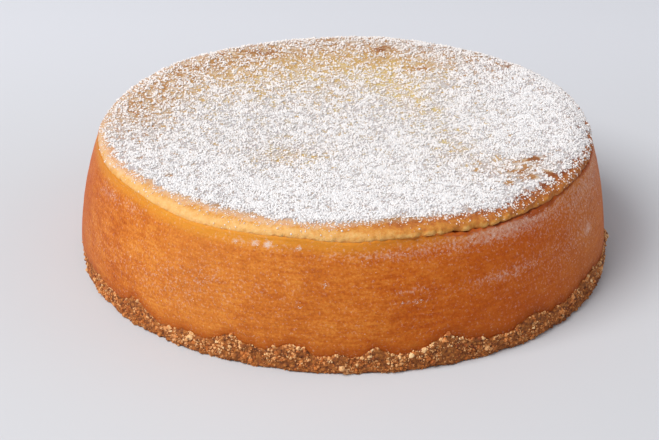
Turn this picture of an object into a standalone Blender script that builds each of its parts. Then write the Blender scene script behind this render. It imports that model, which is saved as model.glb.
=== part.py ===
"""A baked cheesecake, whole, as it comes out of a 23 cm springform tin.

Two solids. The crumb base is a disc of pressed biscuit crumbs, whose ragged edge shows as
a band round the foot. The cheese filling stands on it: its wall leans in towards the top,
where a thin crust with a rolled lip, a raised rim and a slightly sunken middle closes it.

Metres, +Z up, front towards -Y. The origin is at the centre of the underside.
"""

import math

import bmesh
import bpy
import numpy as np

SEGMENTS = 120  # facets round the cake

# The wall, from the foot up to the crust's lip
FOOT_RADIUS = 0.1164
LIP_HEIGHT = 0.0515
WALL_LEAN = 0.0099  # how much nearer the axis the wall is at the lip than at the foot
LEAN_POWER = 2.0  # the wall stands nearly upright at the foot and leans most at the lip
WALL_RINGS = 7

# The crust: a lip that stands just proud of the wall, a round roll up to the rim, a bowl
LIP_OVERHANG = 0.0007
LIP_NOTCH = 0.0005  # height of the crack under the lip
LIP_RADIUS = FOOT_RADIUS - WALL_LEAN + LIP_OVERHANG
RIM_RADIUS = 0.0955
RIM_HEIGHT = LIP_HEIGHT + 0.0050
MIDDLE_SAG = 0.0027
ROLL_RINGS = 5
TOP_RINGS = 8

# The pressed crumbs
BASE_HEIGHT = 0.0076  # at the edge, between the clumps
SEAM_GAP = 0.0003  # between the crumbs and the filling
FLAT_RADIUS = 0.0960  # inside it the seam between crumbs and filling is level
SEAM_RINGS = 3
FOOT_BEVEL = 0.0008

# Waves round the cake: each has its angle from the front in degrees, positive to the
# right, its height and its half width in degrees. The clumps are where crumbs were pressed
# further up the tin, or less far. The lip's waves are where the crust shrank unevenly, and
# the rim's are where it rose more or less.
CLUMPS = (
    (-66, 0.0012, 5), (-46, 0.0040, 4), (-37, -0.0016, 3), (-22, 0.0032, 4),
    (-10, 0.0036, 4), (3, -0.0018, 2), (6, 0.0030, 2), (20, 0.0052, 4),
    (40, 0.0022, 4), (60, 0.0034, 6), (84, 0.0014, 5), (102, 0.0032, 4),
    (121, 0.0022, 6), (143, 0.0038, 4), (163, 0.0012, 5), (184, 0.0030, 4),
    (205, 0.0042, 5), (228, 0.0020, 5), (249, 0.0034, 4), (264, -0.0044, 18),
)

LIP_WAVES = (
    (-54, 0.0010, 9), (-33, -0.0010, 10), (-11, 0.0004, 6), (1, -0.0005, 4),
    (14, 0.0008, 9), (43, -0.0009, 10), (62, 0.0007, 8), (85, -0.0006, 12),
    (112, 0.0008, 14), (141, -0.0007, 12), (170, 0.0006, 10), (196, -0.0008, 13),
    (228, 0.0007, 12), (262, -0.0006, 12), (283, 0.0004, 8),
)
RIM_WAVES = (
    (-70, -0.0009, 60), (20, -0.0004, 25), (105, 0.0011, 55), (131, 0.0008, 20),
    (205, 0.0004, 18),
)

# The top's plan is not quite round: it bulges most to the back right
BULGE = 0.0032
BULGE_ANGLE = 150

# Hollows in the top: place, depth and size
HOLLOWS = (
    (-0.024, -0.034, 0.0016, 0.020),
    (-0.030, -0.063, 0.0007, 0.010),
    (0.058, 0.040, 0.0005, 0.016),
)


def smooth(t):
    """A step from 0 to 1 that is level at both ends."""
    t = np.clip(t, 0, 1)
    return t * t * (3 - 2 * t)


def wall_radius(height):
    """The wall leans in with a power of its height."""
    share = np.clip(height / LIP_HEIGHT, 0, 1)
    return FOOT_RADIUS - WALL_LEAN * share**LEAN_POWER


def waves(angle, bumps):
    """The sum of bell curves round the cake."""
    total = np.zeros_like(angle)
    for degrees, height, width in bumps:
        away = (np.degrees(angle) - degrees + 180) % 360 - 180
        total += height * np.exp(-((away / width) ** 2))
    return total


def crumb_edge(angle):
    """Height of the ragged line where the crumbs meet the filling on the outside."""
    ripple = 0.0004 * np.sin(17 * angle + 0.5) + 0.0003 * np.sin(29 * angle)
    return BASE_HEIGHT + ripple + waves(angle, CLUMPS)


def out_of_round(angle):
    """A broad bulge on one side, as a power of half a cosine wave."""
    return BULGE * (0.5 + 0.5 * np.cos(angle - math.radians(BULGE_ANGLE))) ** 4


def turned(name, profile):
    """A mesh turned about Z from a profile that runs down its outer side."""
    guide_mesh = bpy.data.meshes.new(name + "_profile")
    points = [(radius, 0, height) for radius, height in profile]
    guide_mesh.from_pydata(points, [(i, i + 1) for i in range(len(points) - 1)], [])
    guide = bpy.data.objects.new(name + "_profile", guide_mesh)
    bpy.context.scene.collection.objects.link(guide)
    screw = guide.modifiers.new("turn", "SCREW")
    screw.steps = SEGMENTS
    screw.render_steps = SEGMENTS
    screw.use_merge_vertices = True
    screw.merge_threshold = 0.00001
    graph = bpy.context.evaluated_depsgraph_get()
    mesh = bpy.data.meshes.new_from_object(guide.evaluated_get(graph))
    mesh.name = name
    bpy.data.objects.remove(guide)
    bpy.data.meshes.remove(guide_mesh)
    return mesh


def vertices_of(mesh):
    """The mesh's vertices as radius, angle from the front and height."""
    flat = np.empty(len(mesh.vertices) * 3)
    mesh.vertices.foreach_get("co", flat)
    x, y, z = flat.reshape(-1, 3).T
    return np.hypot(x, y), np.arctan2(x, -y), z


def place_vertices(mesh, radius, angle, height):
    """The reverse of vertices_of."""
    points = np.stack([radius * np.sin(angle), -radius * np.cos(angle), height], axis=-1)
    mesh.vertices.foreach_set("co", points.ravel())
    mesh.update()


def seam_profile():
    """Radii of the seam between crumbs and filling, from the wall inwards."""
    return np.linspace(wall_radius(BASE_HEIGHT), FLAT_RADIUS, SEAM_RINGS)


def outward(radius):
    """0 where the seam is level, 1 at the wall."""
    return smooth((radius - FLAT_RADIUS) / (wall_radius(BASE_HEIGHT) - FLAT_RADIUS))


def seam_lift(radius, angle):
    """How far the seam stands above its level middle: it climbs to the ragged edge."""
    return outward(radius) * (crumb_edge(angle) - BASE_HEIGHT)


def wall_lean(radius, height, lifted):
    """How far a point of the wall moves in or out to stay on it when it is lifted."""
    return outward(radius) * (wall_radius(lifted) - wall_radius(height))


def to_rim(radius):
    """0 on the axis, 1 at the rim and beyond, rising with the square of the radius."""
    return np.clip(radius / RIM_RADIUS, 0, 1) ** 2


def filling_profile():
    """Out over the top from the axis, round the roll, down the wall and back in."""
    top_radius = np.linspace(0, RIM_RADIUS, TOP_RINGS, endpoint=False)
    sag = MIDDLE_SAG * np.cos(math.pi / 2 * top_radius / RIM_RADIUS) ** 2
    profile = list(zip(top_radius, RIM_HEIGHT - sag))
    for turn in np.linspace(math.pi / 2, 0, ROLL_RINGS):
        radius = RIM_RADIUS + (LIP_RADIUS - RIM_RADIUS) * math.cos(turn)
        profile.append((radius, LIP_HEIGHT + (RIM_HEIGHT - LIP_HEIGHT) * math.sin(turn)))
    for height in np.linspace(LIP_HEIGHT - LIP_NOTCH, BASE_HEIGHT + SEAM_GAP, WALL_RINGS):
        profile.append((wall_radius(height), height))
    for radius in seam_profile()[1:]:
        profile.append((radius, BASE_HEIGHT + SEAM_GAP))
    profile.append((0, BASE_HEIGHT + SEAM_GAP))
    return profile


def base_profile():
    """Out over the seam from the axis, down the crumbs' edge and back in underneath."""
    profile = [(0, BASE_HEIGHT)]
    profile += [(radius, BASE_HEIGHT) for radius in seam_profile()[::-1]]
    profile += [(wall_radius(BASE_HEIGHT / 2), BASE_HEIGHT / 2)]
    profile += [(FOOT_RADIUS, FOOT_BEVEL), (FOOT_RADIUS - FOOT_BEVEL, 0), (0, 0)]
    return profile


def hollow_depth(radius, angle):
    """The shallow dips in the top, each a bell curve."""
    x = radius * np.sin(angle)
    y = -radius * np.cos(angle)
    depth = np.zeros_like(radius)
    for at_x, at_y, deep, size in HOLLOWS:
        depth += deep * np.exp(-((x - at_x) ** 2 + (y - at_y) ** 2) / size**2)
    return depth


def settle_filling(mesh):
    """Turns the even shape into a baked one: ragged foot, wavy lip, uneven rim, dips."""
    radius, angle, height = vertices_of(mesh)
    on_crust = height > LIP_HEIGHT - LIP_NOTCH / 2
    up_wall = smooth((height - BASE_HEIGHT - SEAM_GAP) / (LIP_HEIGHT - LIP_NOTCH - BASE_HEIGHT))
    up_roll = smooth((LIP_RADIUS - radius) / (LIP_RADIUS - RIM_RADIUS))

    at_rim = to_rim(radius) * waves(angle, RIM_WAVES) - hollow_depth(radius, angle)
    at_lip = up_wall * waves(angle, LIP_WAVES)
    lifted = height + (1 - up_wall) * seam_lift(radius, angle)
    lifted += np.where(on_crust, up_roll * at_rim + (1 - up_roll) * at_lip, at_lip)

    lean = np.where(on_crust, 0, wall_lean(radius, height, lifted))
    wider = to_rim(radius) * (height / LIP_HEIGHT) ** 2 * out_of_round(angle)
    place_vertices(mesh, radius + lean + wider, angle, lifted)


def settle_base(mesh):
    """Lifts the base's edge to the ragged line; its underside stays flat."""
    radius, angle, height = vertices_of(mesh)
    lifted = height + np.clip(height / BASE_HEIGHT, 0, 1) * seam_lift(radius, angle)
    lean = wall_lean(radius, height, lifted)
    wider = to_rim(radius) * (height / LIP_HEIGHT) ** 2 * out_of_round(angle)
    place_vertices(mesh, radius + lean + wider, angle, lifted)


def triangulated(mesh):
    """Splits each face along its shorter diagonal, alike on both sides of the seam."""
    work = bmesh.new()
    work.from_mesh(mesh)
    bmesh.ops.triangulate(work, faces=work.faces, quad_method="SHORT_EDGE")
    work.to_mesh(mesh)
    work.free()


def material(name, colour, roughness):
    made = bpy.data.materials.new(name)
    made.use_nodes = True
    shader = made.node_tree.nodes["Principled BSDF"]
    shader.inputs["Base Color"].default_value = (*colour, 1)
    shader.inputs["Roughness"].default_value = roughness
    shader.inputs["Metallic"].default_value = 0
    return made


def node(name, mesh, finish, collection):
    triangulated(mesh)
    mesh.shade_smooth()
    mesh.set_sharp_from_angle(angle=math.radians(40))
    mesh.materials.append(finish)
    made = bpy.data.objects.new(name, mesh)
    collection.objects.link(made)
    return made


for leftover in list(bpy.data.objects):
    bpy.data.objects.remove(leftover)

cake = bpy.data.collections.new("baked_cheesecake")
bpy.context.scene.collection.children.link(cake)

base_mesh = turned("crumb_base", base_profile())
settle_base(base_mesh)
node("crumb_base", base_mesh, material("biscuit_crumb", (0.31, 0.13, 0.045), 0.85), cake)

filling_mesh = turned("cheese_filling", filling_profile())
settle_filling(filling_mesh)
node("cheese_filling", filling_mesh, material("baked_cheese", (0.63, 0.22, 0.045), 0.5), cake)
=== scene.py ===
"""A whole baked cheesecake, 23 cm across, with a sieving of icing sugar.

The sections follow the cake as it is made: the pressed crumb base, the baked cheese that
stands on it, the crust that closes its top, and the sugar that is sieved over it cold.
Metres, +Z up, front towards -Y, angles counted from the front and positive to the right.
"""

import math

import bpy
import numpy as np
from mathutils import Matrix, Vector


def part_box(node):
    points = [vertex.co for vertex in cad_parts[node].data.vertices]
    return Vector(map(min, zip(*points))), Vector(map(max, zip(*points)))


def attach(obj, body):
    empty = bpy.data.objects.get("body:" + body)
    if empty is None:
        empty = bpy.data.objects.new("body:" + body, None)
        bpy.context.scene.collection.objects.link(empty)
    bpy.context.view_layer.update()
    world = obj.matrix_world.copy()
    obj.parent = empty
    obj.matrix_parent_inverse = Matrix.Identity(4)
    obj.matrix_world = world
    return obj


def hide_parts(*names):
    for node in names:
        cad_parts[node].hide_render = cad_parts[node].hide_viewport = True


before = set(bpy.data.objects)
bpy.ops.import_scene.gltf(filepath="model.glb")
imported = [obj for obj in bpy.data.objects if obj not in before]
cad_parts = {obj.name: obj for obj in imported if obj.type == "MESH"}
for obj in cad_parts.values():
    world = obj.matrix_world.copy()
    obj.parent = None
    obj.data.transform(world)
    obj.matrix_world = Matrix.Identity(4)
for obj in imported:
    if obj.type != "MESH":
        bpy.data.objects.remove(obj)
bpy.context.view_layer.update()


# ---------------------------------------------------------------------------------------
# The crumb base. Crushed oat biscuits bound with butter, pressed into the tin by hand
# before the filling goes in: pushed further up the tin in some places than in others,
# and left rough where the tin's side came away.

FOOT_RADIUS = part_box("crumb_base")[1].x
BASE_HEIGHT = 0.0076  # at the edge, between the clumps
FOOT_BEVEL = 0.0008

LIP_HEIGHT = 0.0515  # where the wall ends under the crust
WALL_LEAN = 0.0099  # how much nearer the axis the wall is there than at the foot
LEAN_POWER = 2.0
BULGE = 0.0032  # the cake is not quite round: it bulges most to the back right
BULGE_ANGLE = 150
RIM_RADIUS = 0.0955  # where the top's rim is highest

# Angle in degrees, height and half width in degrees of each clump of crumbs
CLUMPS = (
    (-66, 0.0012, 5), (-46, 0.0040, 4), (-37, -0.0016, 3), (-22, 0.0032, 4),
    (-10, 0.0036, 4), (3, -0.0018, 2), (6, 0.0030, 2), (20, 0.0052, 4),
    (40, 0.0022, 4), (60, 0.0034, 6), (84, 0.0014, 5), (102, 0.0032, 4),
    (121, 0.0022, 6), (143, 0.0038, 4), (163, 0.0012, 5), (184, 0.0030, 4),
    (205, 0.0042, 5), (228, 0.0020, 5), (249, 0.0034, 4), (264, -0.0044, 18),
)

CRUMB_PROUD = 0.0004  # how far the pressed crumbs stand out of the wall's line
CRUMBS_STAND = ((-86, -0.0013, 22), (48, 0.0010, 26))  # angle, more or less, and half width
CRUMB_GRAIN = 0.0013  # size of one crumb in their relief
CRUMB_ROUNDING = 0.0010  # how far their top edge draws in

AROUND = 720  # points in a ring of the wall, and half those in a ring of the base
UP_THE_CRUMBS = 24  # rings

# In the flat layouts: the margin, and the share of its length that a hidden part is given
MARGIN = 0.01
HIDDEN_SHARE = 0.02
STRIPS = 4  # in which a band is laid out


def spot(radius, angle):
    """X and y of the spot at a radius and an angle: radius times sine, and minus cosine."""
    return radius * np.sin(angle), -radius * np.cos(angle)


def all_round(steps):
    """The angles of evenly spaced points round the cake, as one row."""
    return np.linspace(0, 2 * math.pi, steps, endpoint=False)[None, :]


def smooth(t):
    """A step from 0 to 1 that is level at both ends: three t squared less two t cubed."""
    t = np.clip(t, 0, 1)
    return t * t * (3 - 2 * t)


def waves(angle, bumps):
    """The sum of bell curves round the cake, each its height times exp(-(away / width)^2)."""
    total = np.zeros_like(angle)
    for degrees, height, width in bumps:
        away = (np.degrees(angle) - degrees + 180) % 360 - 180
        total += height * np.exp(-((away / width) ** 2))
    return total


def lumps(x, y, z, size, seed, count=40):
    """Rolling noise of about -1 to 1: the scaled sum of plane cosine waves, whose directions
    and phases are random and whose lengths are from 0.7 to 1.6 times twice the size."""
    rng = np.random.default_rng(seed)
    total = np.zeros(np.broadcast(x, y, z).shape)
    for _ in range(count):
        way = rng.normal(size=3)
        way *= math.pi / size * rng.uniform(0.62, 1.4) / np.linalg.norm(way)
        total += np.cos(way[0] * x + way[1] * y + way[2] * z + rng.uniform(0, 2 * math.pi))
    return total * math.sqrt(2 / count) / 2


def wall_radius(height):
    """The foot's radius less a lean that grows with a power of the height."""
    share = np.clip(height / LIP_HEIGHT, 0, 1)
    return FOOT_RADIUS - WALL_LEAN * share**LEAN_POWER


def out_of_round(radius, height, angle):
    """A broad bulge on one side: half a cosine wave to the fourth power, growing with the
    squares of radius and height."""
    bell = (0.5 + 0.5 * np.cos(angle - math.radians(BULGE_ANGLE))) ** 4
    return BULGE * bell * np.clip(radius / RIM_RADIUS, 0, 1) ** 2 * (height / LIP_HEIGHT) ** 2


def crumb_edge(angle):
    """Height of the ragged line where crumbs meet cheese: clumps, ripples and a fine rag."""
    ripple = 0.0004 * np.sin(17 * angle + 0.5) + 0.0003 * np.sin(29 * angle)
    x, y = spot(FOOT_RADIUS, angle)
    rag = 0.0007 * lumps(x, y, 0, 0.0022, 11) + 0.0006 * lumps(x, y, 0, 0.0055, 12)
    return BASE_HEIGHT + ripple + waves(angle, CLUMPS) + rag


def piece(name, points, faces, spread):
    """A mesh from an array of points and arrays of faces, whose rows are corners in turn.
    Spread holds two coordinates for each corner, from 0 to 1: the surface laid out flat."""
    corners = np.concatenate([rows.ravel() for rows in faces])
    counts = np.concatenate([np.full(len(rows), rows.shape[1]) for rows in faces])
    mesh = bpy.data.meshes.new(name)
    mesh.vertices.add(len(points))
    mesh.vertices.foreach_set("co", points.astype(np.float32).ravel())
    mesh.loops.add(len(corners))
    mesh.loops.foreach_set("vertex_index", corners.astype(np.int32))
    mesh.polygons.add(len(counts))
    mesh.polygons.foreach_set("loop_start", (np.cumsum(counts) - counts).astype(np.int32))
    mesh.update(calc_edges=True)
    mesh.shade_smooth()
    layer = mesh.uv_layers.new(name="OFBake", do_init=False)
    layer.uv.foreach_set("vector", spread.astype(np.float32).ravel())
    made = bpy.data.objects.new(name, mesh)
    bpy.context.scene.collection.objects.link(made)
    return made


def mark(thing, name, values):
    """Stores one number for each vertex, for the materials to read."""
    attribute = thing.data.attributes.new(name, "FLOAT", "POINT")
    attribute.data.foreach_set("value", values.astype(np.float32).ravel())


def net(radius, angle, height):
    """Rings round the Z axis, from rows of radius and height: their points, each point's
    number, the number of the point after it in its ring, and the quads between the rings."""
    ring = np.stack([*spot(radius, angle), height], axis=-1)
    index = np.arange(radius.size).reshape(radius.shape)
    after = np.roll(index, -1, axis=1)
    quads = np.stack([index[:-1], after[:-1], after[1:], index[1:]], axis=-1).reshape(-1, 4)
    return ring.reshape(-1, 3), index, after, quads


def turned(name, radius, angle, height, shown, laid):
    """A closed skin of rings round the Z axis, each ring a row of radius and height, which
    shrink to a point on the axis before the first row and after the last. The rings run up
    the outer side. Laid turns (share of the way round, share of the way along) into the
    flat layout, in which the rings that aren't shown take little room."""
    rings, steps = radius.shape
    points, index, after, quads = net(radius, angle, height)
    poles = np.array([[0, 0, height[0].mean()], [0, 0, height[-1].mean()]])
    points = np.concatenate([points, poles])
    first = np.stack([after[0], index[0], np.full(steps, rings * steps)], axis=-1)
    last = np.stack([index[-1], after[-1], np.full(steps, rings * steps + 1)], axis=-1)

    length = np.hypot(np.diff(radius.mean(1)), np.diff(height.mean(1)))
    length *= np.where(shown[:-1] & shown[1:], 1, HIDDEN_SHARE)
    along = np.concatenate([[0], np.cumsum(length)])
    along = MARGIN + (1 - 2 * MARGIN) * along / along[-1]
    j = np.arange(steps)
    here, there = j / steps, (j + 1) / steps
    low = np.repeat(along[:-1], steps)
    high = np.repeat(along[1:], steps)
    left, right = np.tile(here, rings - 1), np.tile(there, rings - 1)
    around = np.stack([left, right, right, left], axis=-1).ravel()
    outwards = np.stack([low, low, high, high], axis=-1).ravel()
    fan = np.stack([there, here, (here + there) / 2], axis=-1).ravel()
    fan_low = np.tile([along[0], along[0], 0], steps)
    fan_back = np.stack([here, there, (here + there) / 2], axis=-1).ravel()
    fan_high = np.tile([along[-1], along[-1], 1], steps)
    u = np.concatenate([around, fan, fan_back])
    v = np.concatenate([outwards, fan_low, fan_high])
    turn = np.concatenate([np.repeat(left, 4), np.repeat(here, 3), np.repeat(here, 3)])
    return piece(name, points, (quads, first, last), laid(u, v, turn))


def in_strips(u, v, turn):
    """Lays a band out in four strips, one above the other, each a quarter of the way round."""
    strip = np.floor(turn * STRIPS)
    across = MARGIN + (1 - 2 * MARGIN) * (u * STRIPS - strip)
    up = strip + 2 * MARGIN + (1 - 4 * MARGIN) * v
    return np.stack([across, up / STRIPS], axis=-1)


def linear(code):
    """A colour's sRGB code as linear red, green, blue and alpha."""
    share = [int(code[i : i + 2], 16) / 255 for i in (1, 3, 5)]
    return [s / 12.92 if s < 0.04045 else ((s + 0.055) / 1.055) ** 2.4 for s in share] + [1]


def finish(name):
    """A new material, bare but for its Principled shader, which is returned with it."""
    made = bpy.data.materials.new(name)
    made.use_nodes = True
    return made, made.node_tree.nodes["Principled BSDF"]


def add(made, kind, inputs, stops=(), **settings):
    """Adds a node with its settings. Each input is filled by a value, a colour code, or a
    link from another node's first output or from a socket; stops are a ramp's colours."""
    node = made.node_tree.nodes.new(kind) if isinstance(kind, str) else kind
    for name, value in settings.items():
        setattr(node, name, value)
    for name, value in inputs.items():
        if isinstance(value, bpy.types.Node):
            value = value.outputs[0]
        if isinstance(value, bpy.types.NodeSocket):
            made.node_tree.links.new(value, node.inputs[name])
        elif isinstance(value, str):
            node.inputs[name].default_value = linear(value)
        else:
            node.inputs[name].default_value = value
    for number, (position, code) in enumerate(stops):
        ramp = node.color_ramp.elements
        stop = ramp[number] if number < 2 else ramp.new(position)
        stop.position = position
        stop.color = linear(code)
    return node


def crumb_line(height, angle):
    """Radius of the pressed crumbs' surface, but for its relief: the wall's line, and so far
    out of it as they stand there."""
    line = wall_radius(height)
    stand = CRUMB_PROUD + waves(angle, CRUMBS_STAND)
    return line + out_of_round(line, height, angle) + stand


def crumb_relief(x, y, z):
    """The relief of the pressed crumbs: clumps of 6 mm, and ridged noise the size of a crumb,
    which is rolling noise without its sign."""
    ridges = np.abs(lumps(x, y, z, CRUMB_GRAIN, 21, 60)) - 0.35
    return 0.0005 * lumps(x, y, z, 0.0060, 22) + 0.0008 * ridges


def base_skin():
    """The core of the base, from its underside up its rough edge and in over the seam, which
    levels out inwards. The rings under and over it lie at shares of the foot's radius."""
    angle = all_round(2 * AROUND)
    edge = crumb_edge(angle)
    up = np.linspace(0, 1, UP_THE_CRUMBS)[:, None]
    height = FOOT_BEVEL + up * (edge - FOOT_BEVEL)
    out = crumb_line(height, angle)
    relief = crumb_relief(*spot(out, angle), height)
    out = out + relief - CRUMB_ROUNDING * smooth((up - 0.9) / 0.1)
    under = np.array([0.5, 0.85, 0.97])[:, None] * FOOT_RADIUS + 0 * angle
    foot = out[:1] - FOOT_BEVEL
    over = np.array([0.975, 0.90, 0.5])[:, None] * FOOT_RADIUS + 0 * angle
    radius = np.concatenate([under, foot, out, over])
    rise = np.array([0.9, 0.35, 0.0])[:, None] * (edge - BASE_HEIGHT)
    height = np.concatenate([0 * under, 0 * foot, height, BASE_HEIGHT + rise])
    shown = np.array([False] * 3 + [True] * (1 + UP_THE_CRUMBS) + [False] * 3)
    return radius, angle, height, shown


crumb_core = turned("crumb_core", *base_skin(), in_strips)

# Oat biscuit, baked twice: a dry matt crumb, toasted tan, with butter-soaked specks that
# are darker, and a grit of under a millimetre.
biscuit, shader = finish("pressed_oat_biscuit")
place = add(biscuit, "ShaderNodeTexCoord", {}).outputs["Object"]
speck = add(
    biscuit, "ShaderNodeTexNoise",
    {"Vector": place, "Scale": 1000 / 1.6, "Detail": 5.0, "Roughness": 0.65},
)
speck_colour = add(
    biscuit, "ShaderNodeValToRGB", {"Fac": speck},
    stops=((0.32, "#502208"), (0.72, "#cd853a"), (0.52, "#9c561b")),
)
grit = add(biscuit, "ShaderNodeTexNoise", {"Vector": place, "Scale": 1000 / 0.7, "Detail": 3.0})
bump = add(biscuit, "ShaderNodeBump", {"Height": grit, "Strength": 0.6, "Distance": 0.0004})
add(biscuit, shader, {"Base Color": speck_colour, "Roughness": 0.8, "Normal": bump})
crumb_core.data.materials.append(biscuit)

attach(crumb_core, "root")
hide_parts("crumb_base")


# ---------------------------------------------------------------------------------------
# The crumbs themselves. Angular bits of the same biscuit from a grain of meal up to 3 mm,
# half sunk in the pressed edge, paler where they broke and darker where butter soaked in.

CRUMBS = (  # kind, splits, how many, smallest and largest size
    ("coarse_crumbs", 1, 1500, 0.0014, 0.0027),
    ("fine_crumbs", 0, 18000, 0.0006, 0.0014),
)
CRUMB_SUNK = 0.25  # share of a crumb's size by which its middle lies behind the pressed edge
CRUMB_LIFT = 0.42  # share of its size by which its middle clears the table at least
CRUMB_CLUSTER = 0.0024  # size of the clusters in which they lie
CRUMBS_PALER = ((-28, 0.14, 11), (-62, -0.06, 12), (4, 0.05, 8))  # angle, how much, half width
BIG_CRUMB = 0.0016  # past this size they are darker


def ball(levels):
    """A unit octahedron whose faces are split in four, that many times, as points, faces and
    a flat layout: each point's direction folded onto a square, upper half in the middle."""
    points = np.array([[1, 0, 0], [0, 1, 0], [-1, 0, 0], [0, -1, 0], [0, 0, 1], [0, 0, -1]], float)
    faces = [(i, (i + 1) % 4, 4) for i in range(4)] + [((i + 1) % 4, i, 5) for i in range(4)]
    corners = points[np.array(faces)]
    for _ in range(levels):
        a, b, c = corners.transpose(1, 0, 2)
        ab, bc, ca = (a + b) / 2, (b + c) / 2, (c + a) / 2
        split = ((a, ab, ca), (ab, b, bc), (ca, bc, c), (ab, bc, ca))
        corners = np.concatenate([np.stack(three, axis=1) for three in split])
    flat = corners / np.abs(corners).sum(-1, keepdims=True)
    middle = flat.mean(1, keepdims=True)
    side = np.where(middle[..., :2] >= 0, 1, -1)
    folded = (1 - np.abs(flat[..., 1::-1])) * side
    layout = np.where(middle[..., 2:] < 0, folded, flat[..., :2]) / 2 + 0.5
    rounded = np.round(corners.reshape(-1, 3), 6)
    points, index = np.unique(rounded, axis=0, return_inverse=True)
    points /= np.linalg.norm(points, axis=1, keepdims=True)
    return points, index.reshape(-1, 3), layout.reshape(-1, 2)


def strewn(name, levels, place, size, frames, tone, uneven, rng):
    """One joined mesh of bits, each a ball with uneven radii, scaled by its three sizes,
    turned by its frame of three axes and put in its place, flat where it meets the table."""
    points, faces, layout = ball(levels)
    bits = len(place)
    shape = points[None] * (1 + uneven * rng.uniform(-1, 1, (bits, len(points), 1)))
    shape = np.einsum("nvk,nkj->nvj", shape * size[:, None, :] / 2, frames) + place[:, None]
    shape[..., 2] = np.maximum(shape[..., 2], 0)
    index = faces[None] + (np.arange(bits) * len(points))[:, None, None]
    across = math.ceil(math.sqrt(bits))
    cell = np.stack([np.arange(bits) % across, np.arange(bits) // across], axis=-1)
    spread = (cell[:, None] + 0.06 + 0.88 * layout[None]) / across
    made = piece(name, shape.reshape(-1, 3), (index.reshape(-1, 3),), spread.reshape(-1, 2))
    mark(made, "tone", np.repeat(tone, len(points)))
    return made


def any_turn(count, rng):
    """Random frames of three axes: unit quaternions written out as matrices."""
    four = rng.normal(size=(4, count))
    w, x, y, z = four / np.linalg.norm(four, axis=0)
    rows = (
        (1 - 2 * (y * y + z * z), 2 * (x * y - z * w), 2 * (x * z + y * w)),
        (2 * (x * y + z * w), 1 - 2 * (x * x + z * z), 2 * (y * z - x * w)),
        (2 * (x * z - y * w), 2 * (y * z + x * w), 1 - 2 * (x * x + y * y)),
    )
    return np.array(rows).transpose(2, 0, 1)


# The broken crumb shows every tone of the bake, from pale oat to the dark outer skin, and
# is more of a toffee brown low down, where the butter settled. Its tone also holds painted
# light and shade, paler on the bumps and darker in the hollows.
broken, shader = finish("broken_oat_biscuit")
place = add(broken, "ShaderNodeTexCoord", {}).outputs["Object"]
tone = add(broken, "ShaderNodeAttribute", {}, attribute_name="tone").outputs["Fac"]
speck = add(
    broken, "ShaderNodeTexNoise",
    {"Vector": place, "Scale": 1000 / 0.9, "Detail": 4.0, "Roughness": 0.6},
)
mixed = add(broken, "ShaderNodeMath", {0: speck, 1: 0.8, 2: -0.4}, operation="MULTIPLY_ADD")
mixed = add(broken, "ShaderNodeMath", {0: mixed, 1: tone}, operation="ADD")
broken_colour = add(
    broken, "ShaderNodeValToRGB", {"Fac": mixed},
    stops=(
        (0.0, "#4a1c08"), (1.0, "#f8d19a"),
        (0.25, "#9a4a15"), (0.5, "#cf7b34"), (0.75, "#e9af71"),
    ),
)
level = add(broken, "ShaderNodeSeparateXYZ", {"Vector": place}).outputs["Z"]
buttered = add(
    broken, "ShaderNodeMapRange",
    {"Value": level, "From Min": 0.0055, "From Max": 0.0015, "To Max": 0.5},
)
crumb_colour = add(
    broken, "ShaderNodeMixRGB", {"Fac": buttered, "Color1": broken_colour, "Color2": "#bd681c"}
)
grit = add(broken, "ShaderNodeTexNoise", {"Vector": place, "Scale": 1000 / 0.5, "Detail": 3.0})
bump = add(broken, "ShaderNodeBump", {"Height": grit, "Strength": 0.5, "Distance": 0.0003})
add(broken, shader, {"Base Color": crumb_colour, "Roughness": 0.75, "Normal": bump})

for number, (name, splits, count, smallest, largest) in enumerate(CRUMBS):
    # Twice as many places are drawn as are needed, and kept with a chance that makes clusters
    rng = np.random.default_rng(31 + number)
    angle = rng.uniform(0, 2 * math.pi, 2 * count)
    share = rng.uniform(0, 1, 2 * count)
    height = share * crumb_edge(angle)
    out = crumb_line(height, angle)
    cluster = lumps(*spot(out, angle), height, CRUMB_CLUSTER, 24)
    kept = np.flatnonzero(rng.uniform(0, 1, 2 * count) < smooth(0.7 + cluster))[:count]
    angle, share, cluster = angle[kept], share[kept], cluster[kept]
    count = len(kept)

    # They follow the pressed edge, give or take 0.3 mm, and draw in at its top and bottom
    size = smallest + (largest - smallest) * rng.uniform(0, 1, count) ** 1.5
    edge = crumb_edge(angle)
    height = np.maximum(share * (edge + 0.0003), CRUMB_LIFT * size)
    out = crumb_line(height, angle)
    relief = crumb_relief(*spot(out, angle), height)
    out += relief - CRUMB_SUNK * size + 0.0003 * rng.uniform(-1, 1, count)
    out -= 0.0005 * smooth(height / edge * 4 - 3) + 0.0004 * smooth(2 - height / 0.0010)
    place = np.stack([*spot(out, angle), height], axis=-1)
    sizes = size[:, None] * rng.uniform(0.65, 1.1, (count, 3))

    # Paler on the bumps and darker in the hollows, as painted light and shade; paler also at the
    # top and in the midst of a cluster, and where the bake was less
    tone = rng.normal(0.50, 0.15, count) + relief / 0.0040 + 0.12 * smooth(height / edge * 3 - 2)
    tone += 0.18 * cluster + waves(angle, CRUMBS_PALER) - 0.10 * (size > BIG_CRUMB)
    turns = any_turn(count, rng)
    crumbs = strewn(name, splits, place, sizes, turns, np.clip(tone, 0, 1), 0.22, rng)
    crumbs.data.shade_flat()
    crumbs.data.materials.append(broken)
    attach(crumbs, "root")
    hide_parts("crumb_base")


# ---------------------------------------------------------------------------------------
# The cheese. A set custard of soft cheese, eggs and sugar, baked against the tin: its side
# took the tin's smooth roundness and browned all round, with fine marks drawn round it where
# the knife freed it and where the paper lay.

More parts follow.
